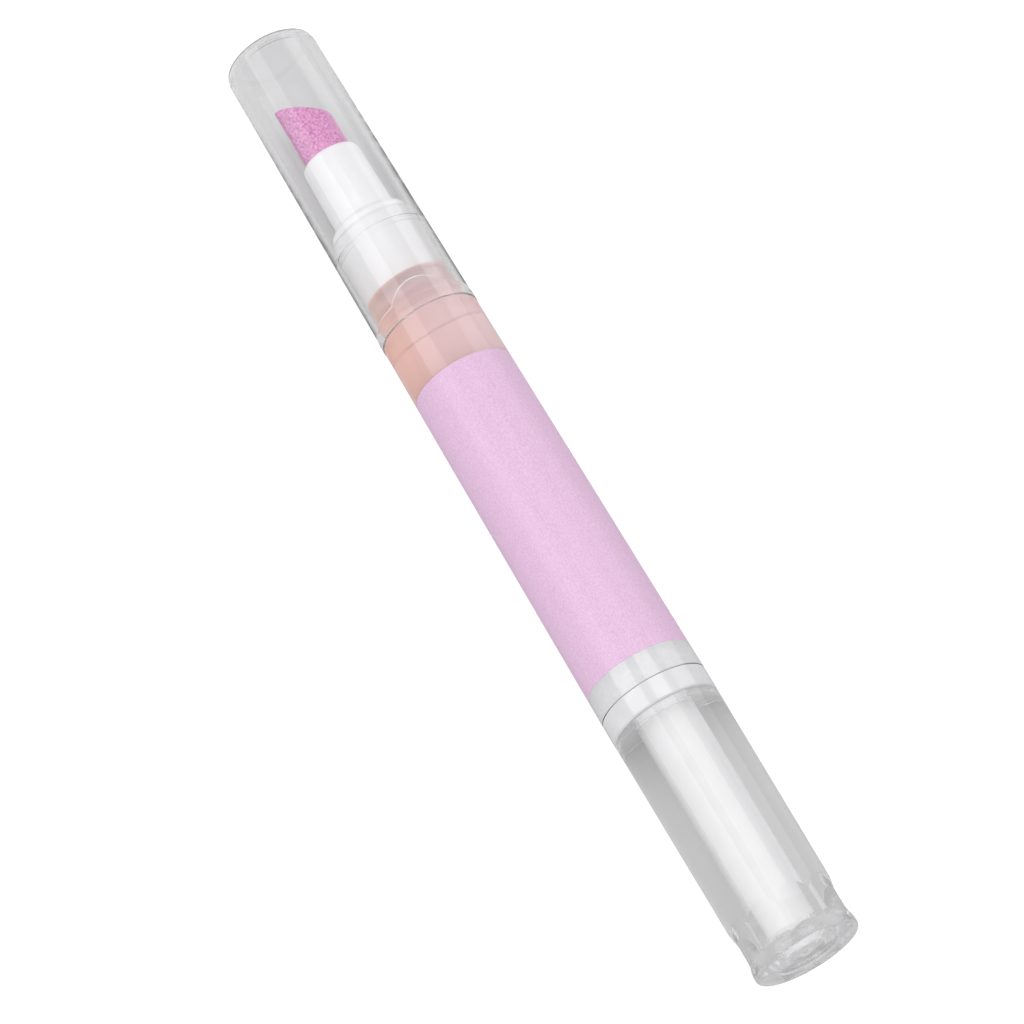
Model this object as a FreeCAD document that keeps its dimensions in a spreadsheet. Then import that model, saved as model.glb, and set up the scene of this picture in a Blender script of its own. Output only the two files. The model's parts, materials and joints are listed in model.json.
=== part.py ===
import FreeCAD, Part
import os

import Sketcher

# Twist-up nail oil pen. The pen's axis is X: the knob's end face is at the origin and the cap
# points along +X. Y and Z are square to the axis, and Z is up when the pen lies on a table.

# Driving sizes in millimetres, angles in degrees, and counts
SIZES = {
    # The diameter that the sizes across the axis follow
    "barrel_back_diameter": 13.52,
    # Roll about the axis: the side that carries the label's front, counted from +Y towards +Z
    "front_roll_deg": 77.0,
    # Knob: clear grip with flats and an end flange
    "knob_length": 32.4,
    "knob_front_round": 0.25,
    "flange_width": 1.2,
    "flange_round": 0.6,
    "flange_slope": 1.0,
    "flat_count": 10,
    "flat_length": 3.0,
    "flat_depth": 0.3,
    "flat_ramp": 1.4,
    "recess_depth": 0.3,
    "gate_depth": 0.35,
    "knob_end_wall": 2.3,
    # Twist sleeve: white core that the knob is pressed on
    "core_end_wall": 1.2,
    "core_end_chamfer": 0.8,
    "core_clearance": 0.2,
    "hub_seat_depth": 0.2,
    "snap_lip_width": 0.8,
    "key_length": 4.4,
    "key_clearance": 0.08,
    # Ratchet collar: fixed in the back of the barrel
    "knob_gap": 0.15,
    "collar_width": 2.95,
    "collar_edge": 0.15,
    "bearing_length": 2.7,
    "bearing_clearance": 0.05,
    "spigot_length": 5.6,
    "tooth_count": 16,
    "tooth_height": 0.4,
    "tooth_length": 3.0,
    "tooth_face_share": 0.125,
    # Pawl ring: turns with the twist sleeve
    "pawl_width": 2.4,
    "pawl_side_gap": 0.15,
    "pawl_slot": 0.2,
    "pawl_tip_clearance": 0.05,
    "pawl_span_deg": 110.0,
    "pawl_root_deg": 20.0,
    # Thread between the lead screw and the drive nut
    "thread_lead": 2.0,
    "thread_depth": 0.35,
    "thread_root_width": 1.0,
    "thread_crest_width": 0.55,
    "thread_sink": 0.1,
    "thread_clearance": 0.1,
    "thread_runout_turns": 1,
    # Drive nut
    "nut_length": 6.0,
    "nut_recess_depth": 2.2,
    "nut_rim": 0.8,
    # Lead screw
    "screw_tail_gap": 1.2,
    "screw_neck_length": 2.2,
    "screw_head_length": 2.4,
    # Piston
    "piston_gap": 5.85,
    "piston_clearance": 0.03,
    "piston_lip_width": 1.2,
    "piston_lip_slope": 0.6,
    "piston_waist_length": 3.6,
    "piston_nose": 0.5,
    "socket_lip_length": 1.3,
    "socket_clearance": 0.15,
    # Barrel
    "barrel_length": 54.75,
    "barrel_front_round": 0.2,
    "bore_past_shoulder": 1.1,
    "bore_cone_length": 0.9,
    "neck_length": 14.7,
    "neck_front_chamfer": 0.25,
    "neck_base_length": 2.6,
    "bead_setback": 3.2,
    "bead_width": 0.6,
    "bead_slope": 0.4,
    "wave_height": 1.75,
    "wave_radius": 4.3,
    "wave_roll_deg": 8.0,
    # Label
    "label_setback": 3.35,
    "label_length": 42.95,
    "label_thickness": 0.1,
    # Nozzle
    "plug_length": 8.85,
    "plug_bore_depth": 6.6,
    "nozzle_flange_width": 1.5,
    "sleeve_length": 9.9,
    "tip_seat_depth": 7.4,
    # Feed tube
    "feed_tube_diameter": 2.0,
    "feed_tube_bore": 1.2,
    "feed_tube_in_tip": 4.4,
    # Applicator tip
    "tip_reach": 9.0,
    "tip_drop": 3.8,
    "tip_flat_width": 0.3,
    "tip_roll_deg": 8.0,
    "tip_channel_diameter": 1.0,
    "tip_channel_cover": 2.0,
    # Oil
    "oil_gap": 0.04,
    # Cap
    "cap_gap": 0.05,
    "cap_length": 43.05,
    "cap_lip_width": 1.3,
    "cap_lip_slope": 0.5,
    "cap_end_round": 1.5,
    "cap_end_wall": 1.15,
    "cap_clearance": 0.06,
    "cap_step_depth": 12.7,
    "cap_upper_clearance": 0.08,
    "cap_inner_round": 0.8,
    # How far a cut runs past what it cuts
    "overrun": 1.0,
}

# Sizes across the axis, as shares of the barrel's back diameter
SHARES = {
    # Knob
    "knob_front_diameter_share": 0.997,
    "knob_back_diameter_share": 0.972,
    "flange_diameter_share": 0.982,
    "recess_diameter_share": 0.595,
    "gate_diameter_share": 0.12,
    # Twist sleeve, collar and pawls
    "core_diameter_share": 0.351,
    "hub_diameter_share": 0.521,
    "pawl_seat_diameter_share": 0.417,
    "pawl_seat_flats_share": 0.372,
    "snap_lip_diameter_share": 0.551,
    "tooth_crest_diameter_share": 0.603,
    "pawl_ring_diameter_share": 0.499,
    # Drive nut, lead screw and piston
    "nut_hub_diameter_share": 0.446,
    "screw_diameter_share": 0.238,
    "screw_flats_share": 0.164,
    "screw_neck_diameter_share": 0.149,
    "screw_head_diameter_share": 0.3125,
    "piston_waist_diameter_share": 0.685,
    # Barrel
    "barrel_front_diameter_share": 0.945,
    "bore_diameter_share": 0.759,
    "neck_base_diameter_share": 0.847,
    "neck_diameter_share": 0.8185,
    "neck_bore_diameter_share": 0.6845,
    # Nozzle and applicator tip
    "plug_bore_diameter_share": 0.536,
    "nozzle_flange_diameter_share": 0.766,
    "nozzle_flange_round_share": 0.082,
    "sleeve_base_diameter_share": 0.592,
    "sleeve_rim_diameter_share": 0.566,
    "sleeve_rim_round_share": 0.041,
    "tip_diameter_share": 0.4465,
    # Cap
    "cap_mouth_diameter_share": 0.942,
    "cap_lip_diameter_share": 0.9525,
    "cap_end_diameter_share": 0.8885,
    "cap_inner_end_diameter_share": 0.7515,
}

# How near an edge lies to the place it is looked for, as a share of the overrun
MATCH_SHARE = 0.001

document = FreeCAD.newDocument("nail_oil_pen")
sheet = document.addObject("Spreadsheet::Sheet", "dims")
cells = {alias: str(number) for alias, number in SIZES.items()}
for name, share in SHARES.items():
    cells[name.removesuffix("_share")] = f"=barrel_back_diameter * {share}"
for row, (alias, content) in enumerate(cells.items(), start=1):
    sheet.set(f"A{row}", alias)
    sheet.set(f"B{row}", content)
    sheet.setAlias(f"B{row}", alias)
document.recompute()


def value(expression):
    """The number that an expression over the sheet's cells gives."""
    result = sheet.evalExpression(expression)
    return float(getattr(result, "Value", result))


def half(alias):
    """The radius that belongs to a diameter in the sheet."""
    return f"dims.{alias} / 2"


# Stations along the axis, from the knob's end face to the cap's closed end
COLLAR_BACK = "(dims.knob_length + dims.knob_gap)"
BARREL_BACK = f"({COLLAR_BACK} + dims.collar_width)"
SPIGOT_FRONT = f"({BARREL_BACK} + dims.spigot_length)"
NUT_FRONT = f"({SPIGOT_FRONT} + dims.nut_length)"
SHOULDER = f"({BARREL_BACK} + dims.barrel_length)"
LABEL_BACK = f"({BARREL_BACK} + dims.label_setback)"
LABEL_FRONT = f"({LABEL_BACK} + dims.label_length)"
BORE_END = f"({SHOULDER} + dims.bore_past_shoulder)"
NECK_FRONT = f"({SHOULDER} + dims.neck_length)"
WAVE_STEP = f"({SHOULDER} + dims.neck_base_length)"
PLUG_BACK = f"({NECK_FRONT} - dims.plug_length)"
PLUG_WEB = f"({PLUG_BACK} + dims.plug_bore_depth)"
SLEEVE_BACK = f"({NECK_FRONT} + dims.nozzle_flange_width)"
SLEEVE_RIM = f"({SLEEVE_BACK} + dims.sleeve_length)"
TIP_BACK = f"({SLEEVE_RIM} - dims.tip_seat_depth)"
TIP_FRONT = f"({SLEEVE_RIM} + dims.tip_reach)"
CAP_BACK = f"({SHOULDER} + dims.cap_gap)"
CAP_FRONT = f"({CAP_BACK} + dims.cap_length)"
CORE_BACK = "dims.knob_end_wall"
SCREW_BACK = f"({CORE_BACK} + dims.core_end_wall + dims.screw_tail_gap)"
PISTON_BACK = f"({NUT_FRONT} + dims.piston_gap)"
SOCKET_BACK = f"({PISTON_BACK} + dims.socket_lip_length)"
SCREW_HEAD = f"({SOCKET_BACK} + dims.socket_clearance)"
SCREW_NECK = f"({SCREW_HEAD} - dims.screw_neck_length)"
SCREW_FRONT = f"({SCREW_HEAD} + dims.screw_head_length)"
SOCKET_FRONT = f"({SCREW_FRONT} + dims.socket_clearance)"
PISTON_WAIST = f"({PISTON_BACK} + dims.piston_lip_width + dims.piston_lip_slope)"
PISTON_WAIST_END = f"({PISTON_WAIST} + dims.piston_waist_length)"
PISTON_FRONT_LIP = f"({PISTON_WAIST_END} + dims.piston_lip_slope)"
PISTON_NOSE = f"({PISTON_FRONT_LIP} + dims.piston_lip_width)"
PISTON_FRONT = f"({PISTON_NOSE} + dims.piston_nose)"
PAWL_BACK = f"({COLLAR_BACK} + dims.bearing_length + dims.pawl_side_gap)"
PAWL_FRONT = f"({PAWL_BACK} + dims.pawl_width)"
SNAP_BACK = f"({PAWL_FRONT} + dims.pawl_side_gap)"
HUB_FRONT = f"({SNAP_BACK} + dims.snap_lip_width)"
# The thread passes this station, a little behind the nut, when the pen is full
THREAD_STATION = f"({SPIGOT_FRONT} - dims.thread_runout_turns * dims.thread_lead)"


def origin_plane(body, role):
    """One of a body's own origin planes."""
    return [feature for feature in body.Origin.OriginFeatures if feature.Role == role][0]


def new_body(label):
    """An empty body that will become one piece of the pen."""
    body = document.addObject("PartDesign::Body", label)
    body.Label = label
    return body


def roll(piece, expression):
    """Turns a piece about the pen's axis by an angle in degrees."""
    piece.Placement = FreeCAD.Placement(
        FreeCAD.Vector(), FreeCAD.Rotation(FreeCAD.Vector(1, 0, 0), value(expression)))
    piece.setExpression("Placement.Rotation.Angle", expression)


def new_sketch(body, name, role="XY_Plane", station=None):
    """A sketch on one of the body's origin planes, moved along the plane's normal to a station."""
    sketch = body.newObject("Sketcher::SketchObject", name)
    sketch.AttachmentSupport = [(origin_plane(body, role), "")]
    sketch.MapMode = "FlatFace"
    if station:
        sketch.setExpression("AttachmentOffset.Base.z", station)
    return sketch


def bind(sketch, constraint, expression):
    """Adds a constraint and ties it to the sheet."""
    index = sketch.addConstraint(constraint)
    sketch.setExpression(f"Constraints[{index}]", expression)


def hold(sketch, geometry, point, across, up):
    """Holds one point of a sketch at two distances from the sketch's origin."""
    if across == "0":
        sketch.addConstraint(Sketcher.Constraint("PointOnObject", geometry, point, -2))
    else:
        distance = Sketcher.Constraint("DistanceX", -1, 1, geometry, point, value(across))
        bind(sketch, distance, across)
    if up == "0":
        sketch.addConstraint(Sketcher.Constraint("PointOnObject", geometry, point, -1))
    else:
        distance = Sketcher.Constraint("DistanceY", -1, 1, geometry, point, value(up))
        bind(sketch, distance, up)


def outline(sketch, points):
    """A closed outline of straight lines through the given points, each held to the sheet."""
    corners = [FreeCAD.Vector(value(across), value(up), 0) for across, up in points]
    first = sketch.GeometryCount
    for index, corner in enumerate(corners):
        following = corners[(index + 1) % len(corners)]
        sketch.addGeometry(Part.LineSegment(corner, following), False)
    for index, (across, up) in enumerate(points):
        line = first + index
        before = first + (index - 1) % len(points)
        sketch.addConstraint(Sketcher.Constraint("Coincident", before, 2, line, 1))
        hold(sketch, line, 1, across, up)


def rectangle(left, right, low, high):
    """The four corners of a rectangle, anticlockwise."""
    return [(left, low), (right, low), (right, high), (left, high)]


def sorted_pair(sign, near, far):
    """Two distances on one side of the axis, in rising order."""
    if sign:
        return f"-({far})", f"-({near})"
    return near, far


def revolve(body, name, points):
    """A solid of revolution about the pen's axis from an outline of stations and radii."""
    sketch = new_sketch(body, name + "_outline")
    outline(sketch, points)
    feature = body.newObject("PartDesign::Revolution", name)
    feature.Profile = sketch
    feature.ReferenceAxis = (sketch, ["H_Axis"])
    feature.Angle = 360
    document.recompute()
    return feature


def ring_edges(feature, station, radius):
    """The names of the round edges of a feature at a station and a radius."""
    tolerance = value("dims.overrun") * MATCH_SHARE
    names = []
    for index, edge in enumerate(feature.Shape.Edges, start=1):
        curve = edge.Curve
        if not isinstance(curve, Part.Circle):
            continue
        same_place = abs(curve.Center.x - value(station)) < tolerance
        if same_place and abs(curve.Radius - value(radius)) < tolerance:
            names.append(f"Edge{index}")
    if not names:
        raise RuntimeError(f"{feature.Name} has no round edge at {station}, {radius}")
    return names


def ease(body, feature, kind, name, size_alias, rings):
    """Rounds (Fillet) or bevels (Chamfer) the round edges at the given stations and radii."""
    names = []
    for station, radius in rings:
        names += ring_edges(feature, station, radius)
    eased = body.newObject("PartDesign::" + kind, name)
    eased.Base = (feature, names)
    eased.setExpression("Radius" if kind == "Fillet" else "Size", "dims." + size_alias)
    document.recompute()
    return eased


def cut(body, sketch, name, length):
    """A symmetric pocket of a given whole length, which has to take some material away."""
    before = body.Shape.Volume
    pocket = body.newObject("PartDesign::Pocket", name)
    pocket.Profile = sketch
    pocket.SideType = "Symmetric"
    pocket.setExpression("Length", length)
    document.recompute()
    if not pocket.Shape.Volume < before:
        raise RuntimeError(f"{name} cuts nothing")
    return pocket


def repeat(body, feature, axis, name, count):
    """Repeats a feature evenly round the pen's axis."""
    pattern = body.newObject("PartDesign::PolarPattern", name)
    pattern.Originals = [feature]
    pattern.Axis = axis
    pattern.Angle = 360
    pattern.setExpression("Occurrences", count)
    body.Tip = pattern
    document.recompute()
    return pattern


def barrel_radius(station):
    """The barrel's outside radius at a station, along its draft."""
    draft = "(dims.barrel_back_diameter - dims.barrel_front_diameter) / dims.barrel_length"
    return f"{half('barrel_back_diameter')} - {draft} * ({station} - {BARREL_BACK}) / 2"


def cylinder(name, radius, back, front, start_deg="0", span_deg="360"):
    """A cylinder, or a slice of one, along the pen's axis between two stations."""
    solid = document.addObject("Part::Cylinder", name)
    solid.setExpression("Radius", radius)
    solid.setExpression("Height", f"{front} - {back}")
    solid.setExpression("Angle", span_deg)
    lie_down = FreeCAD.Rotation(FreeCAD.Vector(0, 1, 0), 90)
    turn = FreeCAD.Rotation(FreeCAD.Vector(1, 0, 0), value(start_deg))
    solid.Placement = FreeCAD.Placement(FreeCAD.Vector(value(back), 0, 0), turn.multiply(lie_down))
    solid.setExpression("Placement.Base.x", back)
    return solid


def subtract(name, base, tool):
    """One solid less another."""
    result = document.addObject("Part::Cut", name)
    result.Base = base
    result.Tool = tool
    return result


def join(name, solids):
    """Several solids as one."""
    result = document.addObject("Part::MultiFuse", name)
    result.Shapes = solids
    return result


def overlap(name, solids):
    """What several solids share."""
    result = document.addObject("Part::MultiCommon", name)
    result.Shapes = solids
    return result


def tube_slice(name, inner, outer, start_deg, span_deg):
    """A slice of the pawl ring's width between two radii."""
    whole = cylinder(name + "_outer", outer, PAWL_BACK, PAWL_FRONT, start_deg, span_deg)
    hollow = cylinder(name + "_inner", inner, PAWL_BACK, PAWL_FRONT)
    return subtract(name, whole, hollow)


def thread_tooth(body, name, station, clearance):
    """The thread's cross-section, grown by a clearance on its flanks and crest."""
    sketch = new_sketch(body, name)
    root = f"({half('screw_diameter')} - dims.thread_depth - dims.thread_sink)"
    crest = f"({half('screw_diameter')} + {clearance})"
    root_half = f"(dims.thread_root_width / 2 + {clearance})"
    crest_half = f"(dims.thread_crest_width / 2 + {clearance})"
    outline(sketch, [
        (f"{station} - {root_half}", root),
        (f"{station} + {root_half}", root),
        (f"{station} + {crest_half}", crest),
        (f"{station} - {crest_half}", crest),
    ])
    return sketch


def thread(body, kind, name, sketch, turns):
    """A right-hand helical thread, added to or taken from the body."""
    helix = body.newObject("PartDesign::" + kind, name)
    helix.Profile = sketch
    helix.ReferenceAxis = (sketch, ["H_Axis"])
    helix.Mode = "pitch-height-angle"
    helix.setExpression("Pitch", "dims.thread_lead")
    helix.setExpression("Height", f"({turns}) * dims.thread_lead")
    helix.LeftHanded = False
    document.recompute()
    return helix


# Knob
def make_knob():
    body = new_body("knob")
    seat = "(dims.knob_length - dims.hub_seat_depth)"
    feature = revolve(body, "grip", [
        ("dims.gate_depth + dims.recess_depth", "0"),
        ("dims.gate_depth + dims.recess_depth", half("gate_diameter")),
        ("dims.recess_depth", half("gate_diameter")),
        ("dims.recess_depth", half("recess_diameter")),
        ("0", half("recess_diameter")),
        ("0", half("flange_diameter")),
        ("dims.flange_width", half("flange_diameter")),
        ("dims.flange_width + dims.flange_slope", half("knob_back_diameter")),
        ("dims.knob_length", half("knob_front_diameter")),
        ("dims.knob_length", half("hub_diameter")),
        (seat, half("hub_diameter")),
        (seat, half("core_diameter")),
        ("dims.knob_end_wall", half("core_diameter")),
        ("dims.knob_end_wall", "0"),
    ])
    feature = ease(body, feature, "Fillet", "end_round", "flange_round",
                   [("0", half("flange_diameter"))])
    ease(body, feature, "Fillet", "front_round", "knob_front_round",
         [("dims.knob_length", half("knob_front_diameter"))])
    flat = f"({half('knob_back_diameter')} - dims.flat_depth)"
    above = f"({half('knob_front_diameter')} + dims.overrun)"
    slope = f"(({above} - {flat}) / dims.flat_depth)"
    flat_back = "(dims.flange_width + dims.flange_slope)"
    flat_end = f"({flat_back} + dims.flat_length)"
    sketch = new_sketch(body, "flat_outline")
    outline(sketch, [
        (flat_back, flat),
        (flat_end, flat),
        (f"{flat_end} + dims.flat_ramp * {slope}", above),
        (f"{flat_back} - dims.flange_slope * {slope}", above),
    ])
    first = cut(body, sketch, "flat", "dims.knob_front_diameter")
    repeat(body, first, (sketch, ["H_Axis"]), "flats", "dims.flat_count")
    roll(body, "dims.front_roll_deg - 180 / dims.flat_count")
    return body


# Twist sleeve
def make_twist_sleeve():
    body = new_body("twist_sleeve")
    hub_back = "(dims.knob_length - dims.hub_seat_depth)"
    bearing_front = f"({COLLAR_BACK} + dims.bearing_length)"
    key_back = f"({HUB_FRONT} - dims.key_length)"
    core_bore = "dims.screw_diameter / 2 + dims.core_clearance"
    feature = revolve(body, "core", [
        (CORE_BACK, "0"),
        (CORE_BACK, half("core_diameter")),
        (hub_back, half("core_diameter")),
        (hub_back, half("hub_diameter")),
        (bearing_front, half("hub_diameter")),
        (bearing_front, half("pawl_seat_diameter")),
        (SNAP_BACK, half("pawl_seat_diameter")),
        (SNAP_BACK, half("snap_lip_diameter")),
        (HUB_FRONT, half("snap_lip_diameter")),
        (HUB_FRONT, "0"),
        (key_back, "0"),
        (key_back, core_bore),
        (f"{CORE_BACK} + dims.core_end_wall", core_bore),
        (f"{CORE_BACK} + dims.core_end_wall", "0"),
    ])
    ease(body, feature, "Chamfer", "end_bevel", "core_end_chamfer",
         [(CORE_BACK, half("core_diameter"))])
    key = new_sketch(body, "key_outline", "YZ_Plane", HUB_FRONT)
    wide = "(dims.screw_diameter / 2 + dims.thread_clearance)"
    tall = "(dims.screw_flats / 2 + dims.key_clearance)"
    outline(key, rectangle(f"-{wide}", wide, f"-{tall}", tall))
    cut(body, key, "key", "2 * dims.key_length + dims.overrun")
    flats = new_sketch(body, "pawl_flats_outline", "XY_Plane")
    reach = half("snap_lip_diameter")
    for sign in ("", "-"):
        low, high = sorted_pair(sign, half("pawl_seat_flats"), reach)
        outline(flats, rectangle(bearing_front, SNAP_BACK, low, high))
    cut(body, flats, "pawl_flats", "dims.hub_diameter")
    return body


# Ratchet collar
def make_ratchet_collar():
    body = new_body("ratchet_collar")
    bearing_front = f"({COLLAR_BACK} + dims.bearing_length)"
    bearing = "dims.hub_diameter / 2 + dims.bearing_clearance"
    chamber = "dims.tooth_crest_diameter / 2 + dims.tooth_height"
    teeth_front = f"({bearing_front} + dims.tooth_length)"
    feature = revolve(body, "ring", [
        (COLLAR_BACK, bearing),
        (COLLAR_BACK, half("barrel_back_diameter")),
        (BARREL_BACK, half("barrel_back_diameter")),
        (BARREL_BACK, half("bore_diameter")),
        (SPIGOT_FRONT, half("bore_diameter")),
        (SPIGOT_FRONT, chamber),
        (teeth_front, chamber),
        (teeth_front, half("tooth_crest_diameter")),
        (bearing_front, half("tooth_crest_diameter")),
        (bearing_front, bearing),
    ])
    ease(body, feature, "Chamfer", "edge", "collar_edge", [
        (COLLAR_BACK, half("barrel_back_diameter")),
        (BARREL_BACK, half("barrel_back_diameter")),
    ])
    pitch = "(360deg / dims.tooth_count)"
    face = f"({pitch} * dims.tooth_face_share)"
    gap = new_sketch(body, "tooth_gap_outline", "YZ_Plane", teeth_front)
    crest = f"({half('tooth_crest_diameter')})"
    inside = f"({crest} - dims.tooth_height)"
    deep = f"({chamber})"
    outline(gap, [
        (inside, "0"),
        (f"{deep} * cos({face})", f"{deep} * sin({face})"),
        (f"{crest} * cos({pitch} - {face})", f"{crest} * sin({pitch} - {face})"),
    ])
    first = cut(body, gap, "tooth_gap", "2 * dims.tooth_length")
    repeat(body, first, (gap, ["N_Axis"]), "tooth_gaps", "dims.tooth_count")
    return body


# Pawl ring
def make_pawl_ring():
    ring = cylinder("pawl_ring_disc", half("pawl_ring_diameter"), PAWL_BACK, PAWL_FRONT)
    seat_round = cylinder("pawl_seat_round", half("pawl_seat_diameter"), PAWL_BACK, PAWL_FRONT)
    seat_slab = document.addObject("Part::Box", "pawl_seat_slab")
    seat_slab.setExpression("Length", "dims.pawl_width")
    seat_slab.setExpression("Width", "dims.pawl_seat_flats")
    seat_slab.setExpression("Height", "dims.pawl_seat_diameter")
    seat_slab.setExpression("Placement.Base.x", PAWL_BACK)
    seat_slab.setExpression("Placement.Base.y", "-dims.pawl_seat_flats / 2")
    seat_slab.setExpression("Placement.Base.z", "-dims.pawl_seat_diameter / 2")
    seat = overlap("pawl_seat", [seat_round, seat_slab])
    solids = [subtract("pawl_band", ring, seat)]
    tip = f"({half('tooth_crest_diameter')} - dims.pawl_tip_clearance)"
    arm_inside = f"({half('pawl_ring_diameter')} + dims.pawl_slot)"
    root_inside = f"({half('pawl_ring_diameter')} - dims.pawl_slot)"
    for number, start in enumerate(("0", "180"), start=1):
        solids.append(tube_slice(f"pawl_arm_{number}", arm_inside, tip, start, "dims.pawl_span_deg"))
        solids.append(tube_slice(f"pawl_root_{number}", root_inside, tip, start, "dims.pawl_root_deg"))
    piece = join("pawl_ring", solids)
    piece.Label = "pawl_ring"
    return piece


# Drive nut
def make_drive_nut():
    body = new_body("drive_nut")
    bore = "dims.screw_diameter / 2 - dims.thread_depth + dims.thread_clearance"
    recess_back = f"({NUT_FRONT} - dims.nut_recess_depth)"
    revolve(body, "plug", [
        (SPIGOT_FRONT, bore),
        (SPIGOT_FRONT, half("bore_diameter")),
        (NUT_FRONT, half("bore_diameter")),
        (NUT_FRONT, f"{half('bore_diameter')} - dims.nut_rim"),
        (recess_back, f"{half('bore_diameter')} - dims.nut_rim"),
        (recess_back, half("nut_hub_diameter")),
        (NUT_FRONT, half("nut_hub_diameter")),
        (NUT_FRONT, bore),
    ])
    sketch = thread_tooth(body, "groove_section", THREAD_STATION, "dims.thread_clearance")
    turns = "dims.nut_length / dims.thread_lead + 2 * dims.thread_runout_turns"
    before = body.Shape.Volume
    thread(body, "SubtractiveHelix", "inner_thread", sketch, turns)
    if not body.Shape.Volume < before:
        raise RuntimeError("the nut's thread cuts nothing")
    return body


# Lead screw
def make_lead_screw():
    body = new_body("lead_screw")
    core = f"({half('screw_diameter')} - dims.thread_depth)"
    revolve(body, "rod", [
        (SCREW_BACK, "0"),
        (SCREW_BACK, core),
        (SCREW_NECK, core),
        (SCREW_NECK, half("screw_neck_diameter")),
        (SCREW_HEAD, half("screw_neck_diameter")),
        (SCREW_HEAD, half("screw_head_diameter")),
        (SCREW_FRONT, half("screw_head_diameter")),
        (SCREW_FRONT, "0"),
    ])
    turns_behind = f"floor(({THREAD_STATION} - {SCREW_BACK}) / dims.thread_lead)"
    start = f"({THREAD_STATION} - {turns_behind} * dims.thread_lead)"
    sketch = thread_tooth(body, "ridge_section", start, "0")
    turns = f"floor(({SCREW_NECK} - {start}) / dims.thread_lead)"
    thread(body, "AdditiveHelix", "outer_thread", sketch, turns)
    flats = new_sketch(body, "flats_outline", "XZ_Plane")
    reach = f"({half('screw_diameter')} + dims.overrun)"
    for sign in ("", "-"):
        low, high = sorted_pair(sign, half("screw_flats"), reach)
        outline(flats, rectangle(f"{SCREW_BACK} - dims.overrun", SCREW_NECK, low, high))
    cut(body, flats, "rod_flats", "dims.screw_diameter + dims.overrun")
    return body


# Piston
def make_piston():
    body = new_body("piston")
    lip = f"({half('bore_diameter')} - dims.piston_clearance)"
    mouth = "(dims.screw_neck_diameter / 2 + dims.socket_clearance)"
    socket = "(dims.screw_head_diameter / 2 + dims.socket_clearance)"
    revolve(body, "plunger", [
        (PISTON_BACK, mouth),
        (PISTON_BACK, lip),
        (f"{PISTON_BACK} + dims.piston_lip_width", lip),
        (PISTON_WAIST, half("piston_waist_diameter")),
        (PISTON_WAIST_END, half("piston_waist_diameter")),
        (PISTON_FRONT_LIP, lip),
        (PISTON_NOSE, lip),
        (PISTON_FRONT, f"{lip} - dims.piston_nose"),
        (PISTON_FRONT, "0"),
        (SOCKET_FRONT, "0"),
        (SOCKET_FRONT, socket),
        (SOCKET_BACK, socket),
        (SOCKET_BACK, mouth),
    ])
    return body


# Barrel
def make_barrel():
    tube = new_body("barrel_tube")
    bead_middle = f"({NECK_FRONT} - dims.bead_setback)"
    bead_side = "dims.bead_width / 2"
    feature = revolve(tube, "tube", [
        (BARREL_BACK, half("bore_diameter")),
        (BARREL_BACK, half("barrel_back_diameter")),
        (LABEL_BACK, barrel_radius(LABEL_BACK)),
        (LABEL_BACK, f"{barrel_radius(LABEL_BACK)} - dims.label_thickness"),
        (LABEL_FRONT, f"{barrel_radius(LABEL_FRONT)} - dims.label_thickness"),
        (LABEL_FRONT, barrel_radius(LABEL_FRONT)),
        (SHOULDER, half("barrel_front_diameter")),
        (SHOULDER, half("neck_base_diameter")),
        (WAVE_STEP, half("neck_base_diameter")),
        (WAVE_STEP, half("neck_diameter")),
        (f"{bead_middle} - {bead_side} - dims.bead_slope", half("neck_diameter")),
        (f"{bead_middle} - {bead_side}", half("neck_base_diameter")),
        (f"{bead_middle} + {bead_side}", half("neck_base_diameter")),
        (f"{bead_middle} + {bead_side} + dims.bead_slope", half("neck_diameter")),
        (NECK_FRONT, half("neck_diameter")),
        (NECK_FRONT, half("neck_bore_diameter")),
        (f"{BORE_END} + dims.bore_cone_length", half("neck_bore_diameter")),
        (BORE_END, half("bore_diameter")),
    ])
    feature = ease(tube, feature, "Chamfer", "neck_bevel", "neck_front_chamfer",
                   [(NECK_FRONT, half("neck_diameter"))])
    ease(tube, feature, "Fillet", "shoulder_round", "barrel_front_round",
         [(SHOULDER, half("barrel_front_diameter"))])
    # Two opposite wave lobes that stand forward of the step on the neck
    lobe = new_body("wave_lobe")
    sketch = new_sketch(lobe, "wave_outline")
    middle = f"({WAVE_STEP} + dims.wave_height - dims.wave_radius)"
    round_lobe = Part.Circle(
        FreeCAD.Vector(value(middle), 0, 0), FreeCAD.Vector(0, 0, 1), value("dims.wave_radius"))
    sketch.addGeometry(round_lobe, False)
    hold(sketch, 0, 3, middle, "0")
    bind(sketch, Sketcher.Constraint("Radius", 0, value("dims.wave_radius")), "dims.wave_radius")
    pad = lobe.newObject("PartDesign::Pad", "lobe_pad")
    pad.Profile = sketch
    pad.SideType = "Symmetric"
    pad.setExpression("Length", "dims.neck_base_diameter + dims.overrun")
    roll(lobe, "dims.front_roll_deg + dims.wave_roll_deg - 90")
    band = new_body("wave_band")
    revolve(band, "wave_ring", rectangle(
        f"{WAVE_STEP} - dims.overrun", f"{WAVE_STEP} + dims.wave_height",
        half("neck_diameter"), half("neck_base_diameter")))
    lobes = overlap("wave_lobes", [lobe, band])
    piece = join("barrel", [tube, lobes])
    piece.Label = "barrel"
    return piece


# Label: a film that lies in a shallow seat round the barrel, flush with it
def make_label():
    body = new_body("label")
    revolve(body, "film", [
        (LABEL_BACK, f"{barrel_radius(LABEL_BACK)} - dims.label_thickness"),
        (LABEL_BACK, barrel_radius(LABEL_BACK)),
        (LABEL_FRONT, barrel_radius(LABEL_FRONT)),
        (LABEL_FRONT, f"{barrel_radius(LABEL_FRONT)} - dims.label_thickness"),
    ])
    return body


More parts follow.
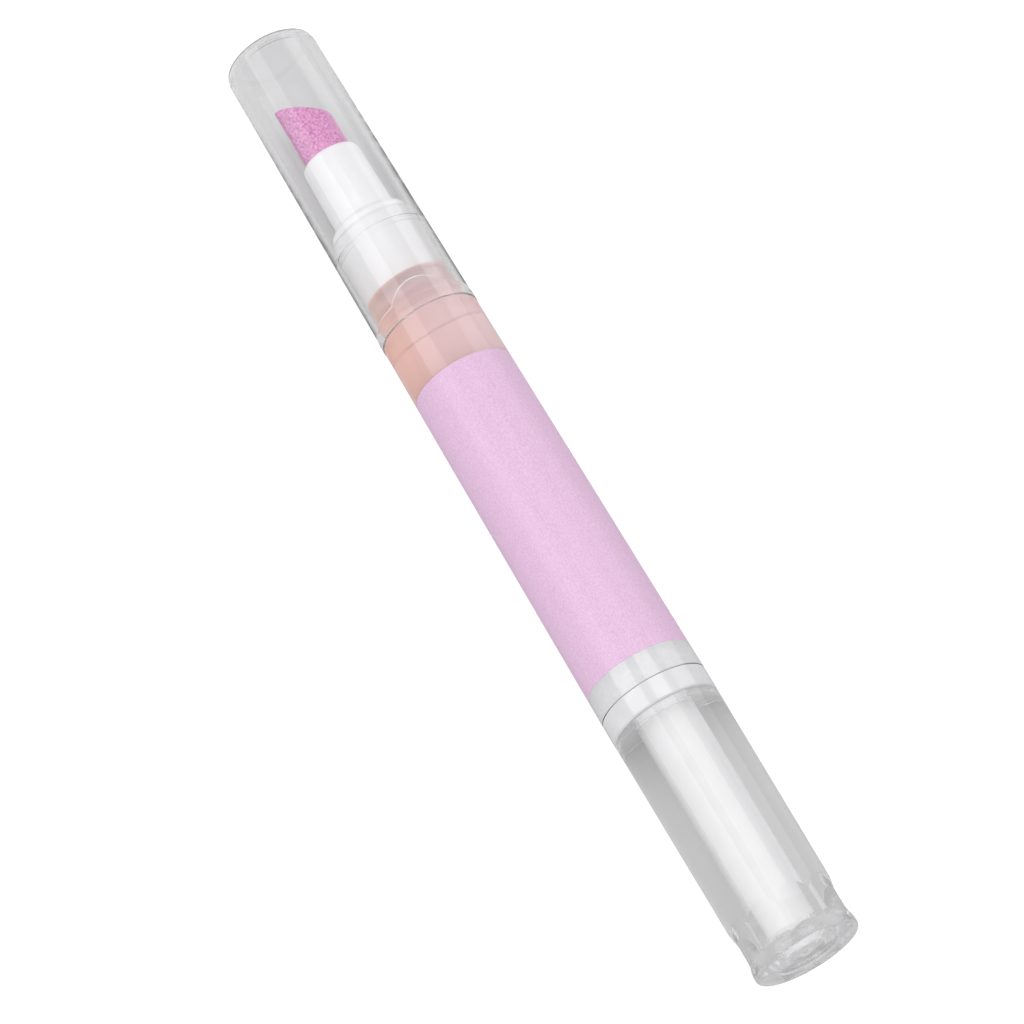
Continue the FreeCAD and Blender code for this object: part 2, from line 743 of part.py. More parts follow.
# Nozzle
def make_nozzle():
    body = new_body("nozzle")
    feature = revolve(body, "holder", [
        (PLUG_BACK, half("plug_bore_diameter")),
        (PLUG_BACK, half("neck_bore_diameter")),
        (NECK_FRONT, half("neck_bore_diameter")),
        (NECK_FRONT, half("nozzle_flange_diameter")),
        (SLEEVE_BACK, half("nozzle_flange_diameter")),
        (SLEEVE_BACK, half("sleeve_base_diameter")),
        (SLEEVE_RIM, half("sleeve_rim_diameter")),
        (SLEEVE_RIM, half("tip_diameter")),
        (TIP_BACK, half("tip_diameter")),
        (TIP_BACK, half("feed_tube_diameter")),
        (PLUG_WEB, half("feed_tube_diameter")),
        (PLUG_WEB, half("plug_bore_diameter")),
    ])
    feature = ease(body, feature, "Fillet", "rim_round", "sleeve_rim_round",
                   [(SLEEVE_RIM, half("sleeve_rim_diameter"))])
    ease(body, feature, "Fillet", "flange_shoulder", "nozzle_flange_round",
         [(SLEEVE_BACK, half("nozzle_flange_diameter"))])
    return body


# Feed tube
def make_feed_tube():
    body = new_body("feed_tube")
    revolve(body, "tube_wall", rectangle(
        PLUG_WEB, f"{TIP_BACK} + dims.feed_tube_in_tip",
        half("feed_tube_bore"), half("feed_tube_diameter")))
    return body


# Applicator tip
def make_applicator_tip():
    body = new_body("applicator_tip")
    channel_front = f"({TIP_FRONT} - dims.tip_drop - dims.tip_channel_cover)"
    seat_front = f"({TIP_BACK} + dims.feed_tube_in_tip)"
    revolve(body, "nib", [
        (TIP_BACK, half("feed_tube_diameter")),
        (TIP_BACK, half("tip_diameter")),
        (TIP_FRONT, half("tip_diameter")),
        (TIP_FRONT, "0"),
        (channel_front, "0"),
        (channel_front, half("tip_channel_diameter")),
        (seat_front, half("tip_channel_diameter")),
        (seat_front, half("feed_tube_diameter")),
    ])
    sketch = new_sketch(body, "slant_outline")
    flat_edge = f"({half('tip_diameter')} - dims.tip_flat_width)"
    low_edge = f"(-{half('tip_diameter')})"
    past_tip = f"({TIP_FRONT} + dims.overrun)"
    past_side = f"({low_edge} - dims.overrun)"
    slope = f"(dims.tip_drop / ({flat_edge} - {low_edge}))"
    outline(sketch, [
        (TIP_FRONT, flat_edge),
        (past_tip, flat_edge),
        (past_tip, past_side),
        (f"{TIP_FRONT} - {slope} * ({flat_edge} - {past_side})", past_side),
    ])
    cut(body, sketch, "slant", "dims.tip_diameter + dims.overrun")
    roll(body, "dims.front_roll_deg - 90 - dims.tip_roll_deg")
    return body


# Oil
def make_oil_fill():
    body = new_body("oil_fill")
    revolve(body, "oil", [
        (f"{PISTON_FRONT} + dims.oil_gap", "0"),
        (f"{PISTON_FRONT} + dims.oil_gap", f"{half('bore_diameter')} - dims.oil_gap"),
        (BORE_END, f"{half('bore_diameter')} - dims.oil_gap"),
        (f"{BORE_END} + dims.bore_cone_length", f"{half('neck_bore_diameter')} - dims.oil_gap"),
        (f"{PLUG_BACK} - dims.oil_gap", f"{half('neck_bore_diameter')} - dims.oil_gap"),
        (f"{PLUG_BACK} - dims.oil_gap", f"{half('plug_bore_diameter')} - dims.oil_gap"),
        (f"{PLUG_WEB} - dims.oil_gap", f"{half('plug_bore_diameter')} - dims.oil_gap"),
        (f"{PLUG_WEB} - dims.oil_gap", "0"),
    ])
    return body


# Cap
def make_cap():
    body = new_body("cap")
    mouth = "dims.neck_base_diameter / 2 + dims.cap_clearance"
    upper = "dims.neck_diameter / 2 + dims.cap_upper_clearance"
    step = f"({CAP_BACK} + dims.cap_step_depth)"
    inner_end = f"({CAP_FRONT} - dims.cap_end_wall)"
    feature = revolve(body, "shell", [
        (CAP_BACK, mouth),
        (CAP_BACK, half("cap_lip_diameter")),
        (f"{CAP_BACK} + dims.cap_lip_width", half("cap_lip_diameter")),
        (f"{CAP_BACK} + dims.cap_lip_width + dims.cap_lip_slope", half("cap_mouth_diameter")),
        (CAP_FRONT, half("cap_end_diameter")),
        (CAP_FRONT, "0"),
        (inner_end, "0"),
        (inner_end, half("cap_inner_end_diameter")),
        (step, upper),
        (step, mouth),
    ])
    feature = ease(body, feature, "Fillet", "end_round", "cap_end_round",
                   [(CAP_FRONT, half("cap_end_diameter"))])
    ease(body, feature, "Fillet", "inner_round", "cap_inner_round",
         [(inner_end, half("cap_inner_end_diameter"))])
    return body


pieces = [
    make_knob(),
    make_twist_sleeve(),
    make_pawl_ring(),
    make_ratchet_collar(),
    make_drive_nut(),
    make_lead_screw(),
    make_piston(),
    make_barrel(),
    make_label(),
    make_oil_fill(),
    make_nozzle(),
    make_feed_tube(),
    make_applicator_tip(),
    make_cap(),
]
document.recompute()

for feature in document.Objects:
    if "Invalid" in feature.State or "Error" in feature.State:
        raise RuntimeError(f"{feature.Name} failed: {feature.State}")
for piece in pieces:
    if piece.Shape.isNull() or not piece.Shape.isValid() or len(piece.Shape.Solids) != 1:
        raise RuntimeError(f"{piece.Label} is not one valid solid")

os.makedirs("parts", exist_ok=True)
for piece in pieces:
    piece.Shape.exportStep(f"parts/{piece.Label}.step")
    print(f"{piece.Label}: {piece.Shape.Volume:.2f} mm3")
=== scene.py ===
import json
import math

import bmesh
import bpy
from mathutils import Matrix, Vector


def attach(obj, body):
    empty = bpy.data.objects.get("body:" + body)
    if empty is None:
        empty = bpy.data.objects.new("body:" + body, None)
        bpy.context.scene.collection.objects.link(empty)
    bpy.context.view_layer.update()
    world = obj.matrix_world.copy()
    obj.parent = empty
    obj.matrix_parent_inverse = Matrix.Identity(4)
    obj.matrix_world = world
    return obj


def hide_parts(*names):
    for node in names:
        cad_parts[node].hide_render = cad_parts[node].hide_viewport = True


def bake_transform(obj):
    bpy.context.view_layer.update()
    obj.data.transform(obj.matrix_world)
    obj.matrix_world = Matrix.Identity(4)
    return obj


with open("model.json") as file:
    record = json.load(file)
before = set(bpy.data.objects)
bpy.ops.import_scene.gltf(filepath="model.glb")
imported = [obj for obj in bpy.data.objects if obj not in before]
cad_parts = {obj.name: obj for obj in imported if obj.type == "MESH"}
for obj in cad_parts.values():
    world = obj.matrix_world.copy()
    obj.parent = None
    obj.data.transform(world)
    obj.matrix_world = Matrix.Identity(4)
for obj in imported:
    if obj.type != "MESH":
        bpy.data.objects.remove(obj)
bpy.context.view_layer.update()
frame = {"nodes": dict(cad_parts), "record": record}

# Nail oil pen. Stations and radii are in millimetres in the CAD model's frame: X runs from the
# knob's end face to the cap, and roll angles count from +Y towards +Z.
MM = 0.001
FULL_TURN = 2 * math.pi
SEGMENTS = 192
ROUND_STEPS = 8
SHARP_ANGLE = math.radians(24)

# The side that faces the camera, and the side to its right in the picture
FRONT_ROLL = math.radians(77)
FRONT = Vector((0, math.cos(FRONT_ROLL), math.sin(FRONT_ROLL)))
RIGHT = Vector((0, -math.sin(FRONT_ROLL), math.cos(FRONT_ROLL)))

# Clear walls reach this far into the opaque pieces and the oil that touch them, as in real
# optical contact
CONTACT = 0.02

# Knob
KNOB_LENGTH = 32.4
KNOB_FRONT_RADIUS = 6.740
KNOB_BACK_RADIUS = 6.571
KNOB_FRONT_ROUND = 0.12
FLANGE_RADIUS = 6.638
FLANGE_WIDTH = 1.2
FLANGE_ROUND = 0.6
FLANGE_SLOPE = 1.0
RECESS_RADIUS = 4.022
RECESS_DEPTH = 0.3
GATE_RADIUS = 0.811
GATE_DEPTH = 0.35
FLAT_COUNT = 10
FLAT_DEPTH = 0.3
FLAT_LENGTH = 3.0
FLAT_RAMP = 1.4
KNOB_BORE_END = 2.3
CORE_RADIUS = 2.373
HUB_RADIUS = 3.522
HUB_SEAT_DEPTH = 0.2
HUB_AIR = 0.03
HUB_SEAT_SLOPE = 1.6

# Barrel
BARREL_BACK = 35.5
SPIGOT_FRONT = 41.1
SHOULDER = 90.25
SHOULDER_ROUND = 0.2
BARREL_BACK_RADIUS = 6.76
BARREL_FRONT_RADIUS = 6.388
BORE_RADIUS = 5.131
BORE_END = 91.35
BORE_CONE = 0.9
NECK_BASE_RADIUS = 5.726
NECK_RADIUS = 5.533
NECK_BORE_RADIUS = 4.627
NECK_FRONT = 104.95
NECK_BEVEL = 0.25
WAVE_STEP = 92.85
WAVE_HEIGHT = 1.75
WAVE_RADIUS = 4.3
WAVE_ROLL = FRONT_ROLL + math.radians(8)
WAVE_SLOPE = 0.22
BEAD_MIDDLE = 101.75
BEAD_WIDTH = 0.6
BEAD_SLOPE = 0.4

# Label
LABEL_BACK = 38.85
LABEL_FRONT = 81.8
LABEL_THICKNESS = 0.1

# Oil
PISTON_FRONT = 60.65
PLUG_BACK = 96.1
PLUG_WEB = 102.7
PLUG_BORE_RADIUS = 3.623
OIL_GAP = 0.04

# Cap
CAP_BACK = 90.3
CAP_FRONT = 133.35
CAP_MOUTH_RADIUS = 6.368
CAP_LIP_RADIUS = 6.439
CAP_LIP_WIDTH = 1.3
CAP_LIP_SLOPE = 0.5
CAP_END_RADIUS = 6.006
CAP_END_ROUND = 1.5
CAP_END_WALL = 1.15
CAP_CLEARANCE = 0.06
CAP_STEP_DEPTH = 12.7
CAP_UPPER_CLEARANCE = 0.08
CAP_INNER_END_RADIUS = 5.08
CAP_INNER_ROUND = 0.8

EDGE_ROUND = 0.06
EDGE_SUPPORT = math.radians(0.6)
FLAT_STEPS = 16


# Meshes
def eased(corners):
    """An outline through corners (station, radius, reach): each corner is rounded off from a
    reach before it to a reach after it."""
    points = []
    count = len(corners)
    for index, (station, radius, reach) in enumerate(corners):
        corner = Vector((station, radius))
        if reach == 0:
            points.append(corner)
            continue
        before = Vector(corners[index - 1][:2]) - corner
        after = Vector(corners[(index + 1) % count][:2]) - corner
        start = corner + before.normalized() * reach
        end = corner + after.normalized() * reach
        for step in range(ROUND_STEPS + 1):
            share = step / ROUND_STEPS
            points.append(start.lerp(corner, share).lerp(corner.lerp(end, share), share))
    return points


def even_angles():
    return [FULL_TURN * index / SEGMENTS for index in range(SEGMENTS)]


def lathe(name, outline_at, angles, closed):
    """A piece turned about the pen's axis. outline_at gives the outline at an angle; a closed
    outline is a ring's section, an open one starts and ends on the axis."""
    mesh_builder = bmesh.new()
    columns = []
    poles = []
    for angle in angles:
        column = []
        for station, radius in outline_at(angle):
            on_axis = radius == 0
            if on_axis and len(poles) == 2:
                column.append(poles[0] if not column else poles[1])
                continue
            place = Vector((station, radius * math.cos(angle), radius * math.sin(angle))) * MM
            vertex = mesh_builder.verts.new(place)
            if on_axis:
                poles.append(vertex)
            column.append(vertex)
        columns.append(column)
    rows = len(columns[0])
    for index, column in enumerate(columns):
        neighbour = columns[(index + 1) % len(columns)]
        for row in range(rows if closed else rows - 1):
            following = (row + 1) % rows
            loop = [column[row], column[following], neighbour[following], neighbour[row]]
            mesh_builder.faces.new(list(dict.fromkeys(loop)))
    bmesh.ops.recalc_face_normals(mesh_builder, faces=mesh_builder.faces)
    mesh = bpy.data.meshes.new(name)
    mesh_builder.to_mesh(mesh)
    mesh_builder.free()
    mesh.shade_smooth()
    mesh.set_sharp_from_angle(angle=SHARP_ANGLE)
    piece = bpy.data.objects.new(name, mesh)
    bpy.context.collection.objects.link(piece)
    return piece


def knob_flat_angles():
    """Roll angles that meet the edges of the knob's flats, with close pairs along each edge."""
    half_span = math.acos((KNOB_BACK_RADIUS - FLAT_DEPTH) / KNOB_BACK_RADIUS)
    pitch = FULL_TURN / FLAT_COUNT
    angles = []
    for number in range(FLAT_COUNT):
        middle = FRONT_ROLL + (number + 0.5) * pitch
        inner = half_span - EDGE_SUPPORT
        angles.append(middle - half_span)
        for step in range(FLAT_STEPS + 1):
            angles.append(middle - inner + 2 * inner * step / FLAT_STEPS)
        angles.append(middle + half_span)
    return angles


def knob_outline(angle):
    pitch = FULL_TURN / FLAT_COUNT
    tilt = math.cos((angle - FRONT_ROLL) % pitch - pitch / 2)
    flat_distance = KNOB_BACK_RADIUS - FLAT_DEPTH
    flat_radius = min(flat_distance / tilt, KNOB_BACK_RADIUS)
    back = FLANGE_WIDTH + FLANGE_SLOPE
    flat_end = back + FLAT_LENGTH
    taper = (KNOB_FRONT_RADIUS - KNOB_BACK_RADIUS) / (KNOB_LENGTH - back)
    grip_radius = KNOB_BACK_RADIUS + taper * FLAT_LENGTH
    rise = FLAT_DEPTH / FLAT_RAMP
    ramp = (grip_radius * tilt - flat_distance) / (rise - taper * tilt)
    ramp = max(ramp, 3 * EDGE_ROUND)
    seat = KNOB_LENGTH - HUB_SEAT_DEPTH - HUB_AIR
    bore_end = KNOB_BORE_END + CONTACT
    bore = CORE_RADIUS - CONTACT
    hub = HUB_RADIUS + HUB_AIR
    return eased([
        (GATE_DEPTH + RECESS_DEPTH, 0, 0),
        (GATE_DEPTH + RECESS_DEPTH, GATE_RADIUS, EDGE_ROUND),
        (RECESS_DEPTH, GATE_RADIUS, EDGE_ROUND),
        (RECESS_DEPTH, RECESS_RADIUS, EDGE_ROUND),
        (0, RECESS_RADIUS, EDGE_ROUND),
        (0, FLANGE_RADIUS, FLANGE_ROUND),
        (FLANGE_WIDTH, FLANGE_RADIUS, FLANGE_ROUND / 2),
        (back, flat_radius, FLANGE_SLOPE / 2),
        (flat_end, flat_radius, EDGE_ROUND),
        (flat_end + ramp, grip_radius + taper * ramp, EDGE_ROUND),
        (KNOB_LENGTH, KNOB_FRONT_RADIUS, KNOB_FRONT_ROUND),
        (KNOB_LENGTH, hub + HUB_SEAT_SLOPE, EDGE_ROUND),
        (seat, hub, EDGE_ROUND),
        (seat, bore, EDGE_ROUND),
        (bore_end, bore, EDGE_ROUND),
        (bore_end, 0, 0),
    ])


def knob_finish(station, radius):
    """The flats and the end flange have a satin skin, with a darker tint that paints shade on them."""
    satin_end = FLANGE_WIDTH + FLANGE_SLOPE + FLAT_LENGTH + FLAT_RAMP + EDGE_ROUND
    if radius > CORE_RADIUS and station < satin_end:
        return "satin_painted_shade_knob_end"
    return None


def barrel_radius(station):
    share = (station - BARREL_BACK) / (SHOULDER - BARREL_BACK)
    return BARREL_BACK_RADIUS + share * (BARREL_FRONT_RADIUS - BARREL_BACK_RADIUS)


def wave_edge(angle):
    """Where the raised neck base ends: the plain step, or further on over the two lobes."""
    across = NECK_BASE_RADIUS * math.sin(angle - WAVE_ROLL)
    if abs(across) >= WAVE_RADIUS:
        return WAVE_STEP
    lobe = WAVE_HEIGHT - WAVE_RADIUS + math.sqrt(WAVE_RADIUS ** 2 - across ** 2)
    return WAVE_STEP + max(lobe, 0)


def barrel_outline(angle):
    edge = wave_edge(angle)
    seat_depth = LABEL_THICKNESS - CONTACT
    bead_back = BEAD_MIDDLE - BEAD_WIDTH / 2
    bead_front = BEAD_MIDDLE + BEAD_WIDTH / 2
    bore = BORE_RADIUS - CONTACT
    neck_bore = NECK_BORE_RADIUS - CONTACT
    return eased([
        (BARREL_BACK - CONTACT, bore, 0),
        (BARREL_BACK - CONTACT, BARREL_BACK_RADIUS, EDGE_ROUND),
        (LABEL_BACK - CONTACT, barrel_radius(LABEL_BACK), 0),
        (LABEL_BACK - CONTACT, barrel_radius(LABEL_BACK) - seat_depth, 0),
        (LABEL_FRONT + CONTACT, barrel_radius(LABEL_FRONT) - seat_depth, 0),
        (LABEL_FRONT + CONTACT, barrel_radius(LABEL_FRONT), 0),
        (SHOULDER, BARREL_FRONT_RADIUS, SHOULDER_ROUND),
        (SHOULDER, NECK_BASE_RADIUS, EDGE_ROUND),
        (edge - WAVE_SLOPE, NECK_BASE_RADIUS, EDGE_ROUND),
        (edge, NECK_RADIUS, EDGE_ROUND),
        (bead_back - BEAD_SLOPE, NECK_RADIUS, EDGE_ROUND),
        (bead_back, NECK_BASE_RADIUS, EDGE_ROUND),
        (bead_front, NECK_BASE_RADIUS, EDGE_ROUND),
        (bead_front + BEAD_SLOPE, NECK_RADIUS, EDGE_ROUND),
        (NECK_FRONT - NECK_BEVEL, NECK_RADIUS, EDGE_ROUND),
        (NECK_FRONT + CONTACT, NECK_RADIUS - NECK_BEVEL, EDGE_ROUND),
        (NECK_FRONT + CONTACT, neck_bore, 0),
        (BORE_END + BORE_CONE, neck_bore, EDGE_ROUND),
        (BORE_END, bore, EDGE_ROUND),
        (PISTON_FRONT, bore, 0),
        (SPIGOT_FRONT, bore, 0),
    ])


def barrel_finish(station, radius):
    """The wall that touches oil, plug or collar, the wave's slope and the band behind the label have
    finishes of their own. The wave's slope gets a whitish frosted skin, a painted highlight for the
    bright line along the step."""
    past_piston = PISTON_FRONT < station < NECK_FRONT
    round_spigot = BARREL_BACK < station < SPIGOT_FRONT
    if radius < BORE_RADIUS:
        return "wet_wall" if past_piston or round_spigot else None
    if BARREL_BACK < station < LABEL_BACK - 2 * CONTACT:
        return "frosted_end"
    near_wave = WAVE_STEP - 2 * WAVE_SLOPE < station < WAVE_STEP + WAVE_HEIGHT + WAVE_SLOPE
    if near_wave and NECK_RADIUS + EDGE_ROUND < radius < NECK_BASE_RADIUS:
        return "wave_painted_highlight"
    return None


def oil_outline(angle):
    return [
        (PISTON_FRONT + OIL_GAP, 0),
        (PISTON_FRONT + OIL_GAP, BORE_RADIUS),
        (BORE_END, BORE_RADIUS),
        (BORE_END + BORE_CONE, NECK_BORE_RADIUS),
        (PLUG_BACK + CONTACT, NECK_BORE_RADIUS),
        (PLUG_BACK + CONTACT, PLUG_BORE_RADIUS + CONTACT),
        (PLUG_WEB, PLUG_BORE_RADIUS + CONTACT),
        (PLUG_WEB, 0),
    ]


def cap_outline(angle):
    mouth = NECK_BASE_RADIUS + CAP_CLEARANCE
    upper = NECK_RADIUS + CAP_UPPER_CLEARANCE
    step = CAP_BACK + CAP_STEP_DEPTH
    inner_end = CAP_FRONT - CAP_END_WALL
    lip_front = CAP_BACK + CAP_LIP_WIDTH
    return eased([
        (CAP_FRONT, 0, 0),
        (CAP_FRONT, CAP_END_RADIUS, CAP_END_ROUND),
        (lip_front + CAP_LIP_SLOPE, CAP_MOUTH_RADIUS, EDGE_ROUND),
        (lip_front, CAP_LIP_RADIUS, EDGE_ROUND),
        (CAP_BACK, CAP_LIP_RADIUS, EDGE_ROUND),
        (CAP_BACK, mouth, EDGE_ROUND),
        (step, mouth, EDGE_ROUND),
        (step, upper, EDGE_ROUND),
        (inner_end, CAP_INNER_END_RADIUS, CAP_INNER_ROUND),
        (inner_end, 0, 0),
    ])


# Materials. Sizes of grains and heights of bumps are in millimetres.
NOISE_LOW_SHARE = 0.3
NOISE_HIGH_SHARE = 0.7
GRAIN_DETAIL = 3.0
PLASTIC_IOR = 1.5
NO_SHADE = (1, 1, 1)

FLOW_SIZE = 1.2
FLOW_STRETCH = 12.0
RIPPLE_SIZE = 0.8
RIPPLE_STRETCH = 8.0
RIPPLE_HEIGHT = 0.001

FROST_SIZE = 0.5
FROST_SHADE = (0.9, 0.9, 0.9)

MOTTLE_SIZE = 2.0
SKIN_SIZE = 0.12
SKIN_HEIGHT = 0.003
SKIN_ROUGHNESS_SPREAD = 0.06

# Painted light and shade: the oil's colour runs across the pen, from a shaded, more orange left of the
# picture to a lighter, lit right
OIL_PAINTED_SHADE_LEFT = (0.97, 0.65, 0.53)
OIL_MIDDLE = (0.89, 0.70, 0.71)
OIL_PAINTED_LIGHT_RIGHT = (0.97, 0.83, 0.84)
OIL_MIDDLE_SHARE = 0.5
OIL_CLEAR_SHARE = 0.7
OIL_IOR = 1.01
OIL_ROUGHNESS = 0.3
OIL_SHADE = (0.99, 0.93, 0.92)
SWIRL_SIZE = 2.5
SWIRL_STRETCH = 5.0
SWIRL_STRENGTH = 0.8
SWIRL_LOW = -0.6
SWIRL_HIGH = 1.4

LABEL_DARK = (0.68, 0.435, 0.635)
LABEL_LIGHT = (0.80, 0.55, 0.745)
LABEL_SMOOTH = 0.30
LABEL_SATIN = 0.42
FLECK_SIZE = 0.22
FLECK_DETAIL = 2.0
FLECK_HEIGHT = 0.002

TIP_DARK = (0.54, 0.13, 0.39)
TIP_LIGHT = (0.92, 0.47, 0.74)
TIP_SMOOTH = 0.2
TIP_ROUGH = 0.7
LUMP_SIZE = 0.3
LUMP_HEIGHT = 0.05
TIP_GLOSS_SIZE = 0.2


def surface(name, base_color, roughness, **sockets):
    """A new material with a Principled shader; sockets are named with underscores."""
    material = bpy.data.materials.new(name)
    material.use_nodes = True
    shader = material.node_tree.nodes["Principled BSDF"]
    shader.inputs["Base Color"].default_value = (*base_color, 1)
    shader.inputs["Roughness"].default_value = roughness
    for socket, setting in sockets.items():
        shader.inputs[socket.replace("_", " ")].default_value = setting
    return material, shader


def grain(material, size_mm, stretch=1.0, detail=GRAIN_DETAIL):
    """Noise over a piece, with grains of a size in millimetres, stretched along the pen."""
    nodes = material.node_tree.nodes
    links = material.node_tree.links
    place = nodes.new("ShaderNodeTexCoord")
    mapping = nodes.new("ShaderNodeMapping")
    mapping.inputs["Scale"].default_value = (1 / stretch, 1, 1)
    noise = nodes.new("ShaderNodeTexNoise")
    noise.inputs["Scale"].default_value = 1 / (size_mm * MM)
    noise.inputs["Detail"].default_value = detail
    links.new(place.outputs["Object"], mapping.inputs["Vector"])
    links.new(mapping.outputs["Vector"], noise.inputs["Vector"])
    return noise.outputs["Fac"]


def spread(material, pattern, low, high, socket):
    """Drives a number socket from a pattern, from low to high."""
    nodes = material.node_tree.nodes
    span = nodes.new("ShaderNodeMapRange")
    span.inputs["From Min"].default_value = NOISE_LOW_SHARE
    span.inputs["From Max"].default_value = NOISE_HIGH_SHARE
    span.inputs["To Min"].default_value = low
    span.inputs["To Max"].default_value = high
    material.node_tree.links.new(pattern, span.inputs["Value"])
    material.node_tree.links.new(span.outputs["Result"], socket)


def tint(material, pattern, dark, light, socket):
    """Drives a colour socket from a pattern, from dark to light."""
    ramp = material.node_tree.nodes.new("ShaderNodeValToRGB")
    ramp.color_ramp.elements[0].position = NOISE_LOW_SHARE
    ramp.color_ramp.elements[0].color = (*dark, 1)
    ramp.color_ramp.elements[1].position = NOISE_HIGH_SHARE
    ramp.color_ramp.elements[1].color = (*light, 1)
    material.node_tree.links.new(pattern, ramp.inputs["Fac"])
    material.node_tree.links.new(ramp.outputs["Color"], socket)


def bump(material, pattern, height_mm, shader):
    """Raises a surface by a pattern."""
    relief = material.node_tree.nodes.new("ShaderNodeBump")
    relief.inputs["Distance"].default_value = height_mm * MM
    material.node_tree.links.new(pattern, relief.inputs["Height"])
    material.node_tree.links.new(relief.outputs["Normal"], shader.inputs["Normal"])


def let_lamps_through(material, shader, shade):
    """Shadow rays pass the clear piece, dimmed a little, so what it holds is lit."""
    nodes = material.node_tree.nodes
    links = material.node_tree.links
    ray = nodes.new("ShaderNodeLightPath")
    passing = nodes.new("ShaderNodeBsdfTransparent")
    passing.inputs["Color"].default_value = (*shade, 1)
    mix = nodes.new("ShaderNodeMixShader")
    links.new(ray.outputs["Is Shadow Ray"], mix.inputs["Fac"])
    links.new(shader.outputs["BSDF"], mix.inputs[1])
    links.new(passing.outputs["BSDF"], mix.inputs[2])
    links.new(mix.outputs["Shader"], nodes["Material Output"].inputs["Surface"])


def clear_plastic(name, color, smooth, satin):
    """Clear moulded plastic: color dims what is seen through it, and its roughness runs from
    smooth to satin along the flow of the moulding."""
    material, shader = surface(name, color, smooth, Transmission_Weight=1.0, IOR=PLASTIC_IOR)
    flow = grain(material, FLOW_SIZE, stretch=FLOW_STRETCH)
    spread(material, flow, smooth, satin, shader.inputs["Roughness"])
    bump(material, grain(material, RIPPLE_SIZE, stretch=RIPPLE_STRETCH), RIPPLE_HEIGHT, shader)
    let_lamps_through(material, shader, NO_SHADE)
    return material


def wet_wall():
    """Where oil or a tight piece meets the clear wall there is no skin: light goes straight on."""
    material, shader = surface("wet_wall", (1, 1, 1), 0.0, Transmission_Weight=1.0, IOR=1.0)
    let_lamps_through(material, shader, NO_SHADE)
    return material


def frosted(name, dark, light, roughness, clear_share, gloss):
    """Clear plastic with a frosted skin."""
    material, shader = surface(name, light, roughness, Transmission_Weight=clear_share,
                               IOR=PLASTIC_IOR, Specular_IOR_Level=gloss)
    tint(material, grain(material, FROST_SIZE), dark, light, shader.inputs["Base Color"])
    let_lamps_through(material, shader, FROST_SHADE)
    return material


def oil():
    """Slightly cloudy oil; it wets the wall, so only the barrel's outer skin bends the light."""
    material, shader = surface("oil", OIL_MIDDLE, OIL_ROUGHNESS,
                               Transmission_Weight=OIL_CLEAR_SHARE, IOR=OIL_IOR)
    nodes = material.node_tree.nodes
    links = material.node_tree.links
    # Painted light and shade across the pen: the colour goes from orange on the left to lighter on the
    # right, stirred by a swirl
    place = nodes.new("ShaderNodeTexCoord")
    across = nodes.new("ShaderNodeVectorMath")
    across.operation = "DOT_PRODUCT"
    across.inputs[1].default_value = RIGHT / (BORE_RADIUS * MM)
    links.new(place.outputs["Object"], across.inputs[0])
    swirl = nodes.new("ShaderNodeMath")
    swirl.operation = "MULTIPLY_ADD"
    swirl.inputs[1].default_value = SWIRL_STRENGTH
    links.new(grain(material, SWIRL_SIZE, stretch=SWIRL_STRETCH), swirl.inputs[0])
    links.new(across.outputs["Value"], swirl.inputs[2])
    span = nodes.new("ShaderNodeMapRange")
    span.inputs["From Min"].default_value = SWIRL_LOW
    span.inputs["From Max"].default_value = SWIRL_HIGH
    links.new(swirl.outputs["Value"], span.inputs["Value"])
    ramp = nodes.new("ShaderNodeValToRGB")
    ramp.color_ramp.elements[0].color = (*OIL_PAINTED_SHADE_LEFT, 1)
    ramp.color_ramp.elements[1].color = (*OIL_PAINTED_LIGHT_RIGHT, 1)
    middle = ramp.color_ramp.elements.new(OIL_MIDDLE_SHARE)
    middle.color = (*OIL_MIDDLE, 1)
    links.new(span.outputs["Result"], ramp.inputs["Fac"])
    links.new(ramp.outputs["Color"], shader.inputs["Base Color"])
    let_lamps_through(material, shader, OIL_SHADE)
    return material


def moulded(name, dark, light, roughness, **sockets):
    """Opaque moulded plastic with slight colour variation and a fine satin skin."""
    material, shader = surface(name, light, roughness, **sockets)
    tint(material, grain(material, MOTTLE_SIZE), dark, light, shader.inputs["Base Color"])
    skin = grain(material, SKIN_SIZE)
    smooth = roughness - SKIN_ROUGHNESS_SPREAD
    satin = roughness + SKIN_ROUGHNESS_SPREAD
    spread(material, skin, smooth, satin, shader.inputs["Roughness"])
    bump(material, skin, SKIN_HEIGHT, shader)
    return material


def label_film():
    """Satin film with fine flecks."""
    material, shader = surface("label_film", LABEL_LIGHT, LABEL_SATIN)
    fleck = grain(material, FLECK_SIZE, detail=FLECK_DETAIL)
    tint(material, fleck, LABEL_DARK, LABEL_LIGHT, shader.inputs["Base Color"])
    spread(material, fleck, LABEL_SMOOTH, LABEL_SATIN, shader.inputs["Roughness"])
    bump(material, fleck, FLECK_HEIGHT, shader)
    return material


def porous_tip():
    """Porous plastic of small lumps, some of them glossy."""
    material, shader = surface("porous_tip", TIP_LIGHT, TIP_ROUGH)
    lump = grain(material, LUMP_SIZE)
    tint(material, lump, TIP_DARK, TIP_LIGHT, shader.inputs["Base Color"])
    spread(material, grain(material, TIP_GLOSS_SIZE), TIP_SMOOTH, TIP_ROUGH, shader.inputs["Roughness"])
    bump(material, lump, LUMP_HEIGHT, shader)
    return material


